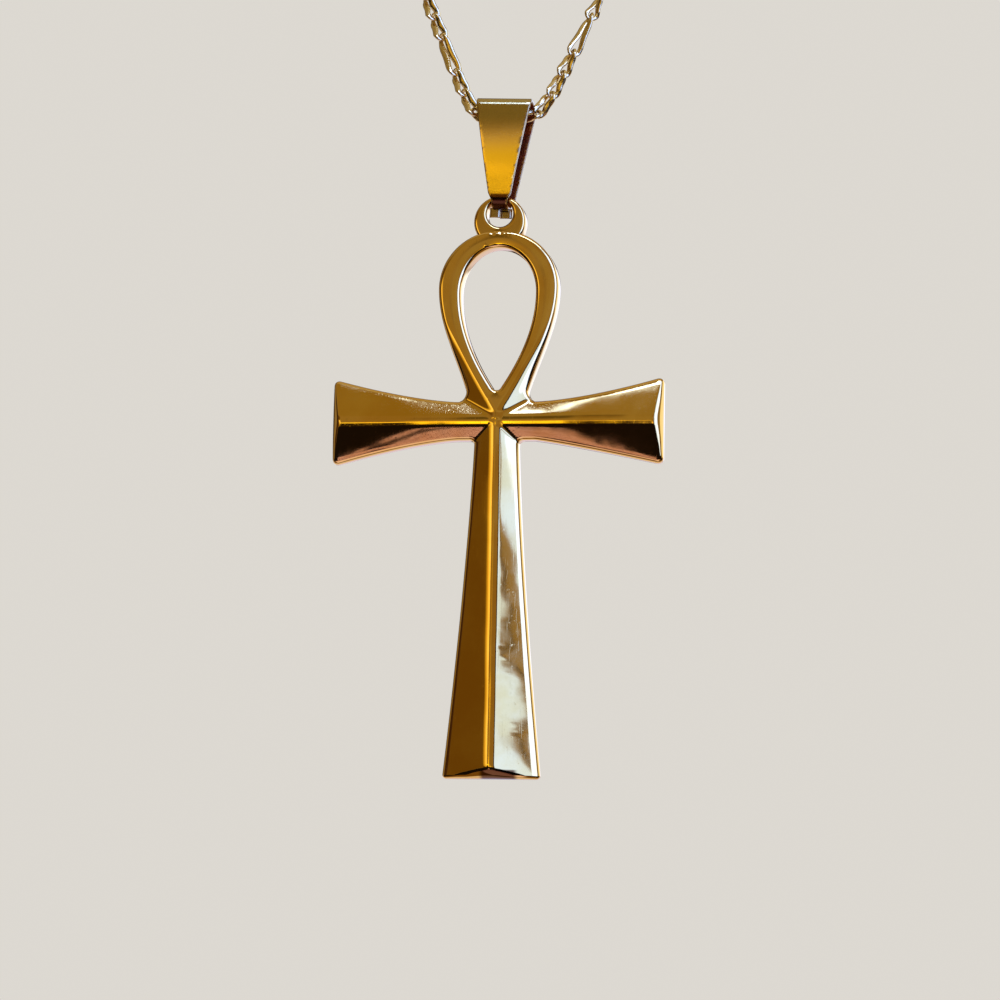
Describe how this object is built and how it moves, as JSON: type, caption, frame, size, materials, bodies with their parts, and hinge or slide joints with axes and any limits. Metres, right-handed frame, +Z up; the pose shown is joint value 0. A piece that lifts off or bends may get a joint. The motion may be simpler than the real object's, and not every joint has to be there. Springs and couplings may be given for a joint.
{
  "type": "looped cross pendant necklace",
  "caption": "Looped cross with ridged, flared arms, hung by an eye from a folded strip bail on a fine figaro chain closed by a claw clasp.",
  "frame": {"origin": "the nape, where the middle of the chain's back rests on the neck, at the clasp", "axes": "+Z up the neck, +Y from the front of the wearer to the back, +X across to the side of the chain that carries the long link in the bail"},
  "size_m": [0.1316, 0.114, 0.2178],
  "materials": {
    "polished_casting": "gold-tone plating, mirror polished over a slightly wavy casting",
    "satin_strip": "gold-tone plating, satin with a fine grain",
    "chain_wire": "gold-tone plating, polished"
  },
  "bodies": {
    "chain": {"chain_left": "chain_wire", "chain_right": "chain_wire", "ring_left": "chain_wire", "ring_right": "chain_wire", "clasp": "satin_strip"},
    "bail": {"bail": "satin_strip"},
    "cross": {"ankh": "polished_casting"}
  },
  "joints": [
    {"name": "bail_swing", "type": "hinge", "parent": "chain", "child": "bail", "pos_m": [-0.00012, -0.11, -0.13564], "axis": [0.9994, 0, -0.0349], "range_deg": [-90, 90]},
    {"name": "cross_sway", "type": "hinge", "parent": "bail", "child": "cross", "pos_m": [-0.00055, -0.11, -0.148], "axis": [0, 1, 0], "range_deg": [-90, 90]}
  ]
}
